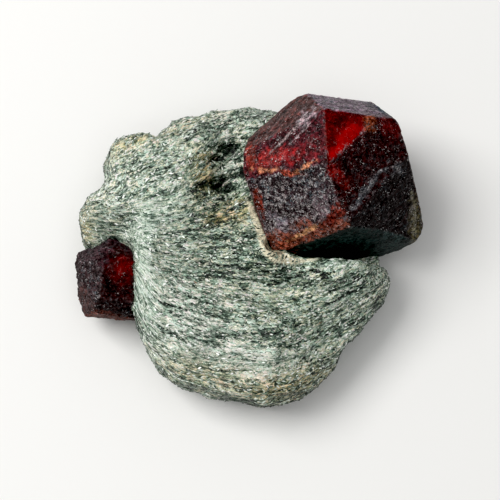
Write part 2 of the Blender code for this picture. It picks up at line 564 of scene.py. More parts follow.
@dataclass(frozen=True)
class SchistFinish:
    """Pale green mica schist, close-set with silver, mint and dark green flakes."""

    name: str = "mica_schist"
    flake: FlakeLayer = FlakeLayer(0.75, 0.32, 0.9, 1.2)
    fibre: FlakeLayer = FlakeLayer(0.48, 0.2, 0.6, 1.4)
    wander: Noise = Noise(1.6)
    drift: Noise = Noise(0.3)
    streaks: Noise = Noise(1.0, 4.0, 0.66, stretch=(0.4, 0.95, 0.95))
    threads: Noise = Noise(1.0, 3.0, 0.6)
    thread_stretch: Colour = (0.11, 1.5, 1.5)
    bands: Noise = Noise(1.0, 3.0, 0.6, stretch=(0.16, 0.34, 0.34))
    clouds: Noise = Noise(0.62, 4.0, 0.64)
    rust_spots: Noise = Noise(0.55)
    contrast: Span = (0.38, 0.62)
    base_tone: float = 0.82
    gap_depth: float = 0.2
    tones: Stops = (
        (0.0, (0.002, 0.004, 0.003)),
        (0.2, (0.016, 0.028, 0.022)),
        (0.4, (0.11, 0.16, 0.128)),
        (0.6, (0.36, 0.45, 0.38)),
        (0.8, (0.70, 0.79, 0.70)),
        (1.0, (1.0, 1.0, 0.98)),
    )
    olive: Colour = (0.96, 0.76, 0.53)
    olive_everywhere: float = 0.12
    selvage_cream: Colour = (1.0, 0.93, 0.70)
    mint: Colour = (0.88, 1.0, 0.96)
    cream: Colour = (1.0, 0.95, 0.82)
    lilac: Colour = (1.0, 0.93, 0.98)
    silver: Colour = (1.0, 0.93, 0.95)
    rust: Colour = (0.25, 0.09, 0.03)
    gloss: Span = (0.2, 0.56)
    ior: float = 1.58
    grain_strength: float = 0.6
    grain_depth: float = 0.12

    def layer(self, graph: Graph, effects: Effects, flow: Socket, shift: Socket, size: FlakeLayer) -> Node:
        """Places one layer of flakes, drawn out along the foliation.

        Args:
            graph: The material's graph.
            effects: The shared node groups.
            flow: The foliation.
            shift: How the rows wander.
            size: The flakes' size.

        Returns:
            The group node.
        """
        along = graph.vector("MULTIPLY", flow, (size.width / size.length, 1.0, 1.0))
        bent = graph.vector("ADD", along, graph.vector("MULTIPLY", shift, (size.bend,) * 3))
        return graph.group(effects.flakes, Place=bent, Size=size.width, Tilt=size.tilt)

    def patterns(self, graph: Graph, effects: Effects) -> SchistPatterns:
        """Adds the patterns, all laid along the foliation.

        Args:
            graph: The material's graph.
            effects: The shared node groups.

        Returns:
            The patterns.
        """
        flow = graph.attribute("flow", "Vector")
        shift = graph.vector("SUBTRACT", graph.noise(flow, self.wander, "Color"), (0.5, 0.5, 0.5))
        drawn_out = graph.vector("MULTIPLY", flow, self.thread_stretch)
        strayed = graph.vector("ADD", drawn_out, graph.noise(flow, self.drift, "Color"))
        return SchistPatterns(
            flow=flow,
            flakes=self.layer(graph, effects, flow, shift, self.flake),
            fibres=self.layer(graph, effects, flow, shift, self.fibre),
            streaks=graph.noise(flow, self.streaks),
            threads=graph.noise(strayed, self.threads),
            clouds=graph.noise(flow, self.clouds),
            bands=graph.noise(flow, self.bands),
        )

    def tone(self, graph: Graph, made: SchistPatterns, masks: dict[str, Socket]) -> Socket:
        """How light the schist is, from 0 to 1.

        Args:
            graph: The material's graph.
            made: The patterns.
            masks: The mesh's attributes by name.

        Returns:
            The tone.
        """
        fibres = made.fibres.outputs["Shade"]
        patterns = {
            "flakes": made.flakes.outputs["Shade"],
            "fibres": fibres,
            # painted glints where the fibres are lightest
            "sparkle": graph.step(fibres, 0.84, 0.96),
            "streaks": graph.step(made.streaks, 0.36, 0.64),
            "threads": graph.step(made.threads, *self.contrast),
            "clouds": graph.step(made.clouds, *self.contrast),
            "bands": graph.step(made.bands, *self.contrast),
        }
        tone: Feed = self.base_tone
        for name, share in PATTERN_SHARES.items():
            level = graph.minus(patterns[name], 0.5)
            tone = graph.plus(tone, graph.times(level, share.on(graph, masks["lobe"])))
        forms = masks | {
            "streaked": graph.times(masks["hollow"], graph.step(made.streaks, 0.60, 0.44)),
            "veined": graph.times(masks["hollow"], graph.step(made.threads, 0.50, 0.62)),
            "pocket": graph.step(masks["pit"], 0.25, 0.62),
        }
        for name, share in FORM_SHARES.items():
            tone = graph.plus(tone, graph.times(forms[name], share.on(graph, masks["lobe"])))
        return graph.minus(tone, graph.times(made.flakes.outputs["Gap"], self.gap_depth), True)

    def colour(self, graph: Graph, made: SchistPatterns, masks: dict[str, Socket], tone: Socket) -> Socket:
        """The schist's colour: the tone's own, then tints, brown areas, the cream selvage and rust.

        Args:
            graph: The material's graph.
            made: The patterns.
            masks: The mesh's attributes by name.
            tone: How light each place is.

        Returns:
            The colour.
        """
        _, warmth, rarity = graph.parts(made.flakes.outputs["Random"])
        warm = graph.plus(graph.times(warmth, 0.7), graph.times(made.bands, 0.6))
        tint = graph.mix(graph.step(warm, 0.45, 0.85), self.mint, self.cream)
        tint = graph.mix(graph.step(rarity, 0.75, 0.85), tint, self.lilac)
        tint = graph.mix(graph.times(masks["pale"], 0.7), tint, self.mint)
        silvered = graph.times(masks["silver"], graph.step(warmth, 0.25, 0.5))
        tint = graph.mix(silvered, tint, self.silver)
        colour = graph.tinted(graph.ramp(tone, self.tones), tint)
        browned = graph.plus(masks["brown"], self.olive_everywhere)
        browned = graph.times(browned, graph.step(made.clouds, 0.34, 0.50), True)
        colour = graph.mix(browned, colour, graph.tinted(colour, self.olive))
        creamy = graph.times(graph.step(masks["selvage"], 0.15, 0.6), graph.step(made.clouds, 0.28, 0.42))
        grainy = graph.tinted(self.selvage_cream, graph.greys(tone, (0.1, 0.42), (0.45, 1.0)))
        colour = graph.mix(graph.times(creamy, 0.9), colour, grainy)
        rusty = graph.step(graph.noise(made.flow, self.rust_spots), 0.70, 0.76)
        rusty = graph.times(rusty, graph.step(made.fibres.outputs["Shade"], 0.5, 0.8))
        return graph.mix(graph.times(rusty, 0.8), colour, self.rust)

    def material(self, effects: Effects) -> Material:
        """Builds the finish.

        Args:
            effects: The shared node groups.

        Returns:
            The material, which reads the attributes flow, zones, relief, shade, brown, lobe, dim, pit
            and silver.
        """
        material, graph, shader = new_material(self.name)
        made = self.patterns(graph, effects)
        stored = ("relief", "shade", "brown", "lobe", "dim", "pit", "silver")
        masks = {name: graph.attribute(name) for name in stored}
        masks |= zip(("hollow", "selvage", "pale"), graph.parts(graph.attribute("zones", "Color")))
        tone = self.tone(graph, made, masks)
        grain = graph.add("Bump", Strength=self.grain_strength, Distance=self.grain_depth * MM)
        gaps = graph.times(made.flakes.outputs["Gap"], 0.7)
        graph.feed(grain.inputs["Height"], graph.minus(made.streaks, gaps))
        lean = graph.vector("ADD", made.flakes.outputs["Normal"], made.fibres.outputs["Normal"])
        graph.feed(grain.inputs["Normal"], graph.vector("NORMALIZE", lean))
        matt, glossy = self.gloss
        gloss = graph.add("MapRange", Value=made.fibres.outputs["Shade"], To_Min=matt, To_Max=glossy)
        graph.feed(shader.inputs["Base Color"], self.colour(graph, made, masks, tone))
        graph.feed(shader.inputs["Roughness"], gloss.outputs["Result"])
        graph.feed(shader.inputs["Normal"], grain.outputs["Normal"])
        shader.inputs["IOR"].default_value = self.ior
        return material


@dataclass(frozen=True)
class MicaFinish:
    """Loose silver and mint flakes that stand out of the schist."""

    name: str = "mica_flakes"
    roughness: float = 0.2
    ior: float = 1.6
    tones: Stops = (
        (0.0, (0.03, 0.05, 0.035)),
        (0.25, (0.16, 0.22, 0.17)),
        (0.6, (0.56, 0.64, 0.56)),
        (1.0, (1.0, 1.0, 0.98)),
    )

    def material(self) -> Material:
        """Builds the finish, which reads the attribute shade.

        Returns:
            The material.
        """
        material, graph, shader = new_material(self.name)
        graph.feed(shader.inputs["Base Color"], graph.ramp(graph.attribute("shade"), self.tones))
        shader.inputs["Roughness"].default_value = self.roughness
        shader.inputs["IOR"].default_value = self.ior
        return material


# ---- the garnet's finish -----------------------------------------------------------------------------
@dataclass(frozen=True)
class GarnetPatterns:
    """The attributes and noises that the garnet's body, coat and glints share."""

    place: Socket
    dusty: Socket
    specky: Socket
    rough: Socket
    broad: Socket
    mottle: Socket
    fine: Socket
    crisp: Socket


@dataclass(frozen=True)
class GarnetFinish:
    """Dark red almandine: glassy where it is clean, grey where mica and scratches dull it."""

    name: str = "garnet"
    broad: Noise = Noise(0.55, 3.0, 0.6)
    mottle: Noise = Noise(1.7, 4.0, 0.68)
    fine: Noise = Noise(5.0, 3.0, 0.7)
    wisps: Noise = Noise(0.75, 3.0, distortion=0.9)
    film: Noise = Noise(1.3, 4.0, 0.75)
    scuffs: Noise = Noise(1.5, 5.0, 0.78)
    clusters: Noise = Noise(0.9, 5.0, 0.75)
    pits: Noise = Noise(2.2, 4.0, 0.7)
    grain_size: float = 0.34
    glint_size: float = 0.2
    glint_stretch: Colour = (1.0, 1.4, 0.8)
    flake_tilt: float = 0.6
    dust: Colour = (0.26, 0.225, 0.235)
    chlorite: Colour = (0.13, 0.17, 0.19)
    wisp: Colour = (0.30, 0.22, 0.22)
    scuff: Colour = (0.82, 0.77, 0.76)
    speck_and_glint: Colour = (0.92, 0.90, 0.90)
    transmission: float = 0.08
    ior: float = 1.78
    specular: float = 0.05
    absorbed: Colour = (0.85, 0.02, 0.02)
    density: float = 260.0
    painted_glow_strength: float = 0.22
    pit_depth: float = 0.28

    def patterns(self, graph: Graph) -> GarnetPatterns:
        """Adds the shared attributes and noises.

        Args:
            graph: The material's graph.

        Returns:
            The patterns.
        """
        place = graph.vector("MULTIPLY", graph.add("TexCoord").outputs["Object"], (1.0 / MM,) * 3)
        dusty, specky, rough = graph.parts(graph.attribute("wear", "Color"))
        broad, mottle, fine = (graph.noise(place, look) for look in (self.broad, self.mottle, self.fine))
        crisp = graph.step(fine, 0.36, 0.64)
        return GarnetPatterns(place, dusty, specky, rough, broad, mottle, fine, crisp)

    def body(self, graph: Graph, made: GarnetPatterns) -> tuple[Socket, Socket]:
        """The clean crystal, with a painted glow added where light would come back out of it.

        Args:
            graph: The material's graph.
            made: The patterns.

        Returns:
            The crystal's colour with the painted glow added, and the painted glow itself.
        """
        shade = graph.times(graph.step(made.mottle, 0.38, 0.64), graph.step(made.broad, 0.28, 0.62))
        shade = graph.plus(shade, graph.times(graph.minus(made.crisp, 0.3), 0.62))
        level = graph.plus(graph.times(graph.math("MAXIMUM", shade, 0.0), 2.6), 0.05)
        grey = graph.add("CombineColor", Red=level, Green=level, Blue=level).outputs[0]
        # Painted glow: stronger where the face is smooth and where the broad noise is high.
        clear = graph.step(made.rough, 0.35, 0.15)
        inner = graph.plus(graph.step(made.broad, 0.34, 0.60), graph.times(clear, 0.6), True)
        lit = graph.mix(inner, BLACK, graph.attribute("glow", "Color"))
        return graph.mix(1.0, graph.tinted(graph.attribute("tone", "Color"), grey), lit, "ADD"), lit

    def coated(self, graph: Graph, effects: Effects, made: GarnetPatterns, colour: Socket) -> Socket:
        """Lays the dust, the scuffs and the healed cracks over the crystal.

        Args:
            graph: The material's graph.
            effects: The shared node groups.
            made: The patterns.
            colour: The clean crystal's colour.

        Returns:
            The coated crystal's colour.
        """
        grains = graph.group(effects.flakes, Place=made.place, Size=self.grain_size, Tilt=self.flake_tilt)
        film = graph.times(made.dusty, graph.step(graph.noise(made.place, self.film), 0.44, 0.60))
        film = graph.times(film, graph.step(grains.outputs["Shade"], 0.25, 0.85))
        film = graph.times(film, 1.4, True)
        coat = graph.mix(graph.step(made.broad, 0.42, 0.56), self.dust, self.chlorite)
        coat = graph.tinted(coat, graph.greys(made.crisp, (0.0, 0.22), (0.6, 0.9), (1.0, 1.9)))
        colour = graph.mix(graph.times(film, 0.85), colour, coat)
        scuffed = graph.times(graph.step(graph.noise(made.place, self.scuffs), 0.50, 0.61), made.crisp)
        scuffed = graph.times(scuffed, graph.step(made.dusty, 0.45, 0.9))
        colour = graph.mix(graph.times(scuffed, 0.75), colour, self.scuff)
        away = graph.math("ABSOLUTE", graph.minus(graph.noise(made.place, self.wisps), 0.5))
        cracked = graph.times(graph.step(away, 0.014, 0.002), graph.step(made.mottle, 0.44, 0.60))
        return graph.mix(graph.times(cracked, 0.5), colour, self.wisp)

    def glints(self, graph: Graph, effects: Effects, made: GarnetPatterns) -> Socket:
        """Where tiny bright flakes sit, in clusters: partly mica flakes, partly painted glints.

        Args:
            graph: The material's graph.
            effects: The shared node groups.
            made: The patterns.

        Returns:
            A mask of the flakes: partly mica, partly painted glints.
        """
        spread = graph.vector("MULTIPLY", made.place, self.glint_stretch)
        flakes = graph.group(effects.flakes, Place=spread, Size=self.glint_size, Tilt=self.flake_tilt)
        cluster = graph.times(graph.step(graph.noise(made.place, self.clusters), 0.50, 0.62), 0.46)
        chance = graph.plus(flakes.outputs["Shade"], graph.times(made.specky, cluster))
        return graph.times(graph.step(chance, 1.0, 1.16), graph.step(made.fine, 0.40, 0.58))

    def material(self, effects: Effects) -> Material:
        """Builds the finish.

        Args:
            effects: The shared node groups.

        Returns:
            The material, which reads the attributes tone, glow and wear.
        """
        material, graph, shader = new_material(self.name)
        made = self.patterns(graph)
        colour, lit = self.body(graph, made)
        colour = self.coated(graph, effects, made, colour)
        specks = self.glints(graph, effects, made)
        # The specks are painted near white: partly mica flakes, partly painted glints.
        colour = graph.mix(graph.times(specks, 0.9), colour, self.speck_and_glint)
        gloss = graph.plus(graph.times(made.rough, 0.5), graph.times(made.mottle, 0.3))
        bump = graph.add("Bump", Strength=1.0, Distance=self.pit_depth * MM)
        pits = graph.times(graph.noise(made.place, self.pits), made.rough)
        graph.feed(bump.inputs["Height"], graph.plus(pits, graph.times(specks, 0.3)))
        graph.feed(shader.inputs["Base Color"], colour)
        graph.feed(shader.inputs["Roughness"], gloss)
        graph.feed(shader.inputs["Normal"], bump.outputs["Normal"])
        # Painted glow: the same colour goes out as emission, though the crystal is no lamp.
        graph.feed(shader.inputs["Emission Color"], lit)
        shader.inputs["Emission Strength"].default_value = self.painted_glow_strength
        shader.inputs["Transmission Weight"].default_value = self.transmission
        shader.inputs["IOR"].default_value = self.ior
        shader.inputs["Specular IOR Level"].default_value = self.specular
        depth = graph.add("VolumeAbsorption", Color=self.absorbed, Density=self.density)
        output = material.node_tree.nodes["Material Output"]
        graph.feed(output.inputs["Volume"], depth.outputs[0])
        return material


# ---- ovals -------------------------------------------------------------------------------------------
@dataclass(frozen=True)
class Oval:
    """An oval seen from above: its centre, half sizes, and turn in degrees."""

    centre: Span
    half_length: float
    half_width: float
    turn: float = 0.0

    def spans(self, points: Array) -> tuple[Array, Array]:
        """How far along and across the oval each point lies, where 1 is its border.

        Args:
            points: One row each, in millimetres.

        Returns:
            The share along and the share across.
        """
        c, s = math.cos(math.radians(self.turn)), math.sin(math.radians(self.turn))
        dx, dy = points[:, 0] - self.centre[0], points[:, 1] - self.centre[1]
        return (dx * c + dy * s) / self.half_length, (dy * c - dx * s) / self.half_width


@dataclass(frozen=True)
class Zone(Oval):
    """An area of the schist with a form or tone of its own."""

    strength: float = 1.0

    def weight(self, points: Array) -> Array:
        """How strongly each point lies in the area, from 0 to its strength."""
        along, across = self.spans(points)
        return self.strength * np.exp(-(along**2 + across**2))


@dataclass(frozen=True)
class Cut(Oval):
    """An oval of the schist's top that has broken away down to a level."""

    bottom: float = 0.0

    def lowered(self, points: Array) -> Array:
        """The points' heights after the break.

        Args:
            points: One row each, in millimetres.

        Returns:
            The heights.
        """
        along, across = self.spans(points)
        away = (along**4 + across**4) ** 0.25
        drop = np.maximum(points[:, 2] - self.bottom, 0.0)
        return points[:, 2] - drop * (1.0 - smoothstep(0.88, 1.02, away))


def zones(*rows: tuple[float, ...]) -> tuple[Zone, ...]:
    """Zones from rows that each hold a centre's x and y, the half sizes, the turn and the strength."""
    return tuple(Zone((x, y), *rest) for x, y, *rest in rows)


def total(areas: tuple[Zone, ...], points: Array) -> Array:
    """The sum of the zones' weights at each point."""
    return sum(area.weight(points) for area in areas)


def covered(areas: tuple[Zone, ...], points: Array) -> Array:
    """How far the zones cover each point, from 0 to 1."""
    return np.clip(total(areas, points), 0.0, 1.0)


# ---- the schist --------------------------------------------------------------------------------------
class Height(NamedTuple):
    """How high a kind of relief stands, and how that changes on the southern lobe and in the hollows."""

    general: float
    on_lobe: float = 0.0
    in_hollow: float = 0.0

    def at(self, lobe: Array, hollow: Array) -> Array:
        """The height at each point."""
        return self.general + self.on_lobe * lobe + self.in_hollow * hollow


@dataclass
class SchistMatrix:
    """The piece of mica schist: its CAD shape with foliation, ledges, pits and grain cut into it."""

    node: Object
    crystals: list[Object]
    grain: float = 0.295
    rough_grain: float = 0.4
    eased: int = 8
    cuts: tuple[Cut, ...] = (
        Cut((14.4, 1.0), 9.6, 2.8, -2.0, 11.0),
        Cut((21.0, 0.8), 5.0, 3.1, -4.0, 6.5),
        Cut((4.9, 0.6), 2.2, 1.75, 0.0, 16.6),
        Cut((-22.8, -4.2), 4.3, 6.2, 0.0, 11.5),
    )
    contact_reach: float = 1.0
    contact_full: float = 0.45
    contact_depth: float = 0.06
    # The layers' lines: a bowl in the south, straight in the north, and turning between them.
    bowl_middle: float = 3.0
    bowl_curves: Span = (0.0105, 0.017)
    rim_from: float = -13.0
    rim_curve: float = 0.13
    north_slope: float = 0.46
    north_end: float = 6.0
    north_fade: Span = (5.0, 13.0)
    turning: Span = (-5.0, 9.0)
    skew: float = 0.3
    dip: float = 0.35
    wave: NoiseField = NoiseField((9.0, 5.0, 9.0), 4.7)
    wave_height: float = 0.55
    # Relief along the layers.
    layers: NoiseField = NoiseField((4.6, 1.1, 1.6), 11.0)
    plates: NoiseField = NoiseField((1.3, 0.55, 0.7), 23.0)
    grains: NoiseField = NoiseField((0.6, 0.42, 0.45), 37.0)
    layer_height: Height = Height(0.20, in_hollow=0.34)
    plate_height: Height = Height(0.16, on_lobe=-0.08, in_hollow=0.20)
    grain_height: Height = Height(0.11, on_lobe=-0.03)
    pit_depth: float = 0.45
    lobe_edge: Span = (-6.0, 6.0)
    side_relief: float = 0.45
    base_fade: Span = (0.15, 1.2)
    ledge_spacing: float = 1.2
    ledge_height: float = 0.32
    ledge_front: float = 0.16
    ledge_line: float = 0.12
    lobe_ledge_wear: float = 0.3
    ledge_bends: NoiseField = NoiseField((9.0, 2.8, 4.0), 51.0)
    ledge_bend: float = 1.3
    ledge_runs: NoiseField = NoiseField((8.0, 1.6, 2.4), 63.0)
    # Tones: how much hollows, dims, pits and pales darken the flakes, and how dark the painted shade on the
    # steep sides is.
    darkening: tuple[float, ...] = (0.3, 0.16, 0.7, -0.12)
    steep_shade: float = 1.1
    hollows: tuple[Zone, ...] = zones(
        (-3.8, 16.0, 2.6, 1.6, 20.0, 0.5), (-4.8, 10.6, 2.8, 1.6, 8.0, 0.5),
        (-8.4, 9.3, 1.0, 0.6, 20.0, 0.9), (-3.4, 12.0, 6.4, 3.4, 78.0, 0.16),
        (1.0, -5.0, 8.5, 2.4, -10.0, 0.4), (-3.0, 4.6, 5.0, 3.4, -20.0, 0.45),
        (12.6, -5.2, 3.2, 1.6, -20.0, 0.7), (20.0, -6.0, 3.0, 2.6, 40.0, 0.45),
        (11.5, -1.2, 5.0, 0.7, 3.0, 0.6), (20.4, -9.6, 5.0, 1.6, 62.0, 0.3),
        (0.0, -22.0, 9.0, 1.4, -5.0, 0.25),
    )
    silvers: tuple[Zone, ...] = zones(
        (-9.0, -11.0, 8.0, 5.5, -60.0, 1.0), (1.0, -20.0, 9.0, 3.4, -6.0, 0.7),
        (-6.0, 21.0, 8.0, 2.0, 22.0, 0.6), (-2.6, 15.0, 2.0, 3.6, 0.0, 0.5),
    )
    pits: tuple[Zone, ...] = zones(
        (-3.3, 16.8, 1.7, 0.75, 8.0, 1.3), (-5.0, 15.0, 1.0, 0.4, 12.0, 1.2),
        (-4.4, 10.5, 2.0, 1.1, 2.0, 1.3), (-0.9, 12.7, 0.6, 1.0, 0.0, 1.2),
        (-8.0, 10.0, 0.8, 0.5, 20.0, 1.0), (-2.5, 15.2, 2.0, 0.25, 10.0, 0.8),
        (-2.0, 12.3, 1.8, 0.25, 20.0, 0.8), (11.8, -4.6, 2.2, 0.5, -35.0, 0.7),
        (20.3, -4.6, 1.8, 0.7, 20.0, 0.45), (21.3, -8.4, 1.6, 0.6, 60.0, 0.5),
    )
    dims: tuple[Zone, ...] = zones(
        (2.0, -4.0, 12.0, 4.5, -6.0, 1.0), (7.0, -12.0, 10.0, 5.0, 8.0, 0.9),
        (-4.0, 3.6, 7.5, 4.4, 0.0, 1.7), (-3.5, 21.0, 7.0, 1.6, 20.0, 1.7),
        (1.0, -25.4, 12.0, 0.9, -6.0, 0.7), (8.6, -22.2, 9.0, 1.8, 16.0, 1.1),
    )
    selvages: tuple[Zone, ...] = zones(
        (1.9, 2.6, 5.2, 0.5, -68.0, 1.3), (2.9, 0.2, 1.8, 0.9, -60.0, 1.0),
        (5.0, -1.8, 2.4, 0.9, -18.0, 1.3), (9.6, -2.2, 2.6, 0.5, 6.0, 0.5),
    )
    pales: tuple[Zone, ...] = zones(
        (-16.6, -5.5, 8.0, 1.7, 94.0, 1.3), (-16.5, 3.4, 5.0, 2.6, 35.0, 0.9),
        (-13.0, 8.0, 6.0, 3.0, 35.0, 0.45), (-13.0, -12.0, 9.0, 4.0, -60.0, 0.35),
        (16.0, -2.6, 6.0, 0.9, 8.0, 0.9), (1.0, -19.6, 10.0, 2.8, -6.0, 0.9),
        (-2.9, 14.0, 1.6, 0.5, 40.0, 1.6), (-4.7, 13.2, 1.8, 0.4, 25.0, 1.2),
        (-1.3, 9.9, 1.5, 0.8, -55.0, 1.4), (-6.0, 17.4, 1.6, 0.4, 35.0, 1.2),
    )
    browns: tuple[Zone, ...] = zones(
        (-20.0, 18.0, 6.0, 1.6, 20.0, 0.8), (-27.0, 4.0, 1.4, 3.0, 5.0, 0.8),
        (-7.2, 11.0, 2.2, 3.4, 0.0, 0.9), (-7.0, 14.4, 1.6, 1.1, 10.0, 1.0),
        (-1.6, 6.4, 2.2, 2.4, 20.0, 1.1), (-5.2, 4.4, 2.4, 1.4, 10.0, 0.9),
        (-10.0, 21.0, 6.0, 1.2, 25.0, 0.5), (-6.0, -21.0, 11.0, 2.4, -12.0, 0.6),
        (9.0, -21.5, 8.0, 2.4, 18.0, 0.9),
    )

    def darkness(self, points: Array) -> Array:
        """How much darker the flakes are at each point, from the zones there."""
        kinds = (self.hollows, self.dims, self.pits, self.pales)
        return sum(share * total(kind, points) for share, kind in zip(self.darkening, kinds, strict=True))

    def layer_rise(self, points: Array) -> Array:
        """How far north a layer lies at each point of the top, against where it crosses x = 0.

        Args:
            points: One row each, in millimetres.

        Returns:
            The rise, in millimetres.
        """
        x, y, _ = points.T
        share = smoothstep(*self.turning, y) * (1.0 - smoothstep(*self.north_fade, x))
        bowl = np.where(x < self.bowl_middle, *self.bowl_curves) * (x - self.bowl_middle) ** 2
        south = bowl + self.rim_curve * np.maximum(self.rim_from - x, 0.0) ** 2
        north = self.north_slope * np.minimum(x, self.north_end)
        return south + (north - south) * share

    def slope(self, points: Array) -> Array:
        """How steeply the layers run across the top, as y per x."""
        ahead = points + np.array([1.0, 0.0, 0.0])
        return self.layer_rise(ahead) - self.layer_rise(points)

    def flow(self, points: Array) -> Array:
        """Foliation coordinates: along the layers, across them, and up, in millimetres.

        Args:
            points: One row each, in millimetres.

        Returns:
            One row each.
        """
        x, y, z = points.T
        across = y - self.layer_rise(points) + self.dip * z + self.wave_height * self.wave.at(points)
        return np.stack([x + self.skew * y, across, z], axis=1)

    def upward(self, normals: Array) -> Array:
        """1 where the surface faces upwards, and 0 on its sides and underneath."""
        return smoothstep(0.1, 0.6, normals[:, 2])

    def ledges(self, flow: Array) -> tuple[Array, Array]:
        """Thin layers that break off one behind another.

        Args:
            flow: The foliation coordinates.

        Returns:
            The layers' rise from -0.5 to 0.5, and a mask of the painted shade lines under their edges.
        """
        strength = smoothstep(-0.25, 0.35, self.ledge_runs.at(flow))
        phase = np.mod(flow[:, 1] / self.ledge_spacing + self.ledge_bend * self.ledge_bends.at(flow), 1.0)
        fall = smoothstep(0.0, self.ledge_front, phase)
        rise = (phase - 0.5) * fall + (0.5 - 0.5 * phase) * (1.0 - fall)
        ledge_shade = (1.0 - smoothstep(0.06, 0.22, np.abs(phase - self.ledge_line))) * strength
        return rise * strength, ledge_shade

    def pressed_to_crystals(self, points: Array) -> Array:
        """Draws the schist in against the crystals, so that no gap shows round them.

        Args:
            points: One row each, in millimetres.

        Returns:
            The points, moved.
        """
        moved = points.copy()
        for crystal in self.crystals:
            tree = surface_tree(crystal)
            for index, place in enumerate(moved):
                found, normal, _, distance = tree.find_nearest(Vector(place * MM), self.contact_reach * MM)
                if found is None:
                    continue
                inside = (Vector(place * MM) - found).dot(normal) < 0.0
                gap = -distance / MM if inside else distance / MM
                pull = 1.0 - float(smoothstep(self.contact_full, self.contact_reach, np.array(gap)))
                moved[index] = place - np.array(normal) * (gap + self.contact_depth) * pull
        return moved

    def even_shape(self) -> Mesh:
        """The CAD shape with its broken places, evenly meshed.

        Returns:
            The new mesh.
        """
        shape = evenly_meshed(merged_copy(self.node), self.rough_grain, 0)
        places = points_of(shape)
        for cut in self.cuts:
            places[:, 2] = cut.lowered(places)
        set_points(shape, places)
        return evenly_meshed(shape, self.grain, self.eased)

    def build(self) -> Object:
        """Builds the schist.

        Returns:
            The finished object, with the attributes flow, zones, relief, shade, brown, lobe, dim, pit
            and silver.
        """
        mesh = self.even_shape()
        points, normals = points_of(mesh), normals_of(mesh)
        flow = self.flow(points)
        layers, plates, grains = (kind.at(flow) for kind in (self.layers, self.plates, self.grains))
        hollow = covered(self.hollows, points)
        lobe = 1.0 - smoothstep(*self.lobe_edge, points[:, 1])
        pit = np.clip(total(self.pits, points) * (1.0 + 0.8 * plates + 0.5 * layers), 0.0, 1.2)
        ledge, ledge_shade = self.ledges(flow)
        rise = self.layer_height.at(lobe, hollow) * layers + self.plate_height.at(lobe, hollow) * plates
        rise = rise + self.grain_height.at(lobe, hollow) * grains
        rise = rise + (1.0 - self.lobe_ledge_wear * lobe) * self.ledge_height * ledge
        upward = self.side_relief + (1.0 - self.side_relief) * self.upward(normals)
        rise = (rise - self.pit_depth * pit) * upward * smoothstep(*self.base_fade, points[:, 2])
        points = self.pressed_to_crystals(points + normals * rise[:, None])
        points[:, 2] = np.maximum(points[:, 2], 0.0)
        set_points(mesh, points)
        # Painted shade: the steep sides and the lines under the ledges' edges are stored as shade, which
        # darkens the tone.
        steep = 1.0 - smoothstep(0.0, 0.45, normals[:, 2])
        selvage, pale = covered(self.selvages, points), covered(self.pales, points)
        for name, values in {
            "flow": self.flow(points),
            "brown": covered(self.browns, points),
            "lobe": lobe,
            "dim": total(self.dims, points),
            "pit": pit,
            "silver": covered(self.silvers, points),
            "shade": np.clip(ledge_shade + self.steep_shade * steep, 0.0, 1.6),
            "zones": np.stack([hollow, selvage, pale, np.ones(len(points))], axis=1),
            # relief: painted shade in the low places of the relief, read by the tone
            "relief": np.clip(0.4 * layers + 0.6 * plates + 0.5 * grains, -1.0, 1.0),
        }.items():
            store(mesh, name, values)
        mesh.shade_smooth()
        return in_scene("mica_schist", mesh)


@dataclass
class MicaFlakes:
    """Small plates of mica and chlorite that stand out of the schist's surface."""

    schist: Object
    matrix: SchistMatrix
    count: int = 11400
    sides: int = 5
    taper: float = 0.84
    lengths: Span = (0.35, 1.0)
    slimness: Span = (0.18, 0.42)
    wander: float = 0.5
    thickness: float = 0.07
    lean: float = 15.0
    side_shade: float = 0.5
    lowest: float = 1.5
    undermost: float = -0.5
    seed: int = 7

    def template(self) -> Mesh:
        """One flake a millimetre across: a low prism that tapers upwards.

        Returns:
            The mesh that every flake is a copy of.
        """
        shape = bmesh.new()
        foot = 0.5 * MM
        bmesh.ops.create_cone(
            shape, cap_ends=True, segments=self.sides, radius1=foot, radius2=foot * self.taper, depth=MM
        )
        return mesh_from(shape, "flake")

    def build(self) -> Object:
        """Scatters the flakes.

        Returns:
            One object that holds them all, with the attribute shade.
        """
        chance = random.Random(self.seed)
        points, normals = points_of(self.schist.data), normals_of(self.schist.data)
        bearings = np.arctan(self.matrix.slope(points))
        # painted shade: flakes on the steep sides are darkened as well as by the zones
        darkness = self.matrix.darkness(points) + self.side_shade * (1.0 - self.matrix.upward(normals))
        open_places = np.flatnonzero((points[:, 2] > self.lowest) & (normals[:, 2] > self.undermost))
        template = self.template()
        joined = bmesh.new()
        shades = []
        for index in chance.sample(list(open_places), self.count):
            normal = Vector(normals[index])
            normal.rotate(Euler([math.radians(chance.gauss(0.0, self.lean)) for _ in range(3)]))
            heading = bearings[index] + chance.gauss(0.0, self.wander)
            side = normal.cross(Vector((math.cos(heading), math.sin(heading), 0.0))).normalized()
            turn = Matrix((side.cross(normal), side, normal)).transposed().to_4x4()
            length = chance.uniform(*self.lengths)
            size = Matrix.Diagonal((length, length * chance.uniform(*self.slimness), self.thickness, 1.0))
            flake = template.copy()
            flake.transform(Matrix.Translation(Vector(points[index] * MM)) @ turn @ size)
            joined.from_mesh(flake)
            bpy.data.meshes.remove(flake)
            shades.append(max(0.0, chance.random() - float(darkness[index])))
        mesh = mesh_from(joined, "mica_flakes")
        store(mesh, "shade", np.repeat(np.array(shades), 2 * self.sides))
        return in_scene("mica_flakes", mesh)


